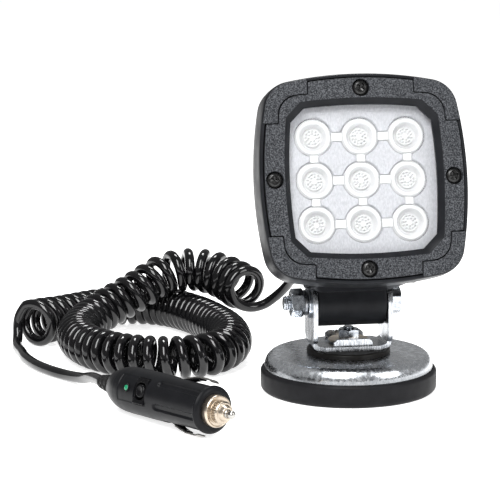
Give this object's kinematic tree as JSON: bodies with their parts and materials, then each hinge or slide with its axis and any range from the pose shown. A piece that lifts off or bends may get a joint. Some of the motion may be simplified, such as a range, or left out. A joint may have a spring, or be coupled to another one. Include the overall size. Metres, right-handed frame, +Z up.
{
  "type": "work light",
  "caption": "Square tilting work light on a U bracket and round magnetic base, with a curly cord to an accessory plug.",
  "frame": {"origin": "middle of the underside of the magnetic base", "axes": "+Z up from the surface that the magnet holds, the lamp faces -Y, +X is to the right of somebody looking at the lamp"},
  "size_m": [0.2193, 0.2848, 0.1631],
  "materials": {
    "boot_rubber": "satin black moulded rubber",
    "zinc_plate": "spun steel, clear zinc plated, concentric polish marks",
    "ferrite": "sintered ferrite",
    "bare_steel": "turned steel",
    "zinc_steel": "bright zinc plated fastener",
    "pad_rubber": "matt black rubber",
    "yellow_zinc": "yellow-passivated zinc",
    "bracket_zinc": "zinc plated strip with a fine grain",
    "spring_steel": "dark spring steel",
    "grained_plastic": "fine spark-eroded grain, grey black",
    "black_screws": "black oxide, slightly oily sheen",
    "clear_polycarbonate": "clear, polished",
    "seal_rubber": "soft seal",
    "silver_plate": "pale silver moulded plate",
    "clear_acrylic": "clear optic with a dimpled middle",
    "led_ceramic": "white ceramic with yellow phosphor",
    "board_white": "white solder mask",
    "thermal_grey": "grey gap pad",
    "moulded_plastic": "smooth satin black",
    "black_aluminium": "black powder coat on cast aluminium",
    "board_green": "green solder mask",
    "component_black": "moulded components",
    "gland_nylon": "black nylon",
    "cord_jacket": "glossy polyurethane jacket",
    "relief_rubber": "ribbed soft rubber",
    "plug_plastic": "satin moulded plastic, fine grain",
    "nickel_warm": "warm nickel plated brass",
    "nickel_bright": "bright nickel plate",
    "fuse_glass": "glass fuse body",
    "switch_black": "gloss black",
    "indicator_green": "translucent green lens"
  },
  "bodies": {
    "base": {"rubber_boot": "boot_rubber", "magnet_cup": "zinc_plate", "ring_magnet": "ferrite", "pole_piece": "bare_steel", "centre_stud": "zinc_steel", "swivel_pad": "pad_rubber", "clamp_washer": "yellow_zinc", "clamp_nut": "zinc_steel", "cord_lead": "cord_jacket", "cord_coil": "cord_jacket", "cord_tail": "cord_jacket", "plug_strain_relief": "relief_rubber", "plug_shell_face": "plug_plastic", "plug_shell_back": "plug_plastic", "plug_collar": "plug_plastic", "plug_nose": "nickel_warm", "tip_spring": "spring_steel", "plug_fuse": "fuse_glass", "switch_frame": "switch_black", "indicator_lens": "indicator_green", "plug_board": "board_green"},
    "bracket": {"u_bracket": "bracket_zinc", "pivot_bolt": "zinc_steel", "pivot_nut": "zinc_steel", "lock_washer": "spring_steel", "flat_washer": "zinc_steel"},
    "tip": {"plug_tip": "nickel_bright"},
    "upper_contact": {"contact_upper": "nickel_bright"},
    "lower_contact": {"contact_lower": "nickel_bright"},
    "rocker": {"switch_rocker": "switch_black"},
    "head": {"front_bezel": "grained_plastic", "bezel_screws": "black_screws", "lens_cover": "clear_polycarbonate", "lens_gasket": "seal_rubber", "reflector_plate": "silver_plate", "optic_lenses": "clear_acrylic", "led_chips": "led_ceramic", "led_board": "board_white", "board_screws": "zinc_steel", "thermal_pad": "thermal_grey", "front_housing": "moulded_plastic", "heat_sink": "black_aluminium", "heat_sink_screws": "spring_steel", "rear_housing": "moulded_plastic", "rear_gasket": "seal_rubber", "rear_screws": "spring_steel", "driver_board": "board_green", "driver_parts": "component_black", "cable_gland": "gland_nylon", "gland_seal": "seal_rubber", "gland_nut": "gland_nylon", "vent_plug": "gland_nylon", "pivot_sleeve": "bare_steel"}
  },
  "joints": [
    {"name": "bracket_swivel", "type": "hinge", "parent": "base", "child": "bracket", "pos_m": [0, 0, 0.0218], "axis": [0, 0, 1], "range_deg": [-30, 30], "deforming": ["cord_lead"]},
    {"name": "head_tilt", "type": "hinge", "parent": "bracket", "child": "head", "pos_m": [0, 0, 0.0452], "axis": [1, 0, 0], "range_deg": [-55, 50]},
    {"name": "tip_press", "type": "slide", "parent": "base", "child": "tip", "axis": [0.5118, -0.8585, 0.0314], "range_m": [-0.0035, 0], "stiffness_N_per_m": 400, "springref_m": 0.003, "deforming": ["tip_spring"]},
    {"name": "upper_contact_press", "type": "hinge", "parent": "base", "child": "upper_contact", "pos_m": [-0.09569, -0.05841, 0.0198], "axis": [0.8077, 0.4684, -0.3582], "range_deg": [0, 2.5], "stiffness_Nm_per_rad": 0.3, "springref_deg": -2.86},
    {"name": "lower_contact_press", "type": "hinge", "parent": "base", "child": "lower_contact", "pos_m": [-0.09996, -0.06146, 0.00618], "axis": [-0.8077, -0.4684, 0.3582], "range_deg": [0, 2.5], "stiffness_Nm_per_rad": 0.3, "springref_deg": -2.86},
    {"name": "switch_rock", "type": "hinge", "parent": "base", "child": "rocker", "pos_m": [-0.1105, -0.054, 0.01564], "axis": [0.2928, 0.2087, 0.9331], "range_deg": [-7, 7]}
  ]
}
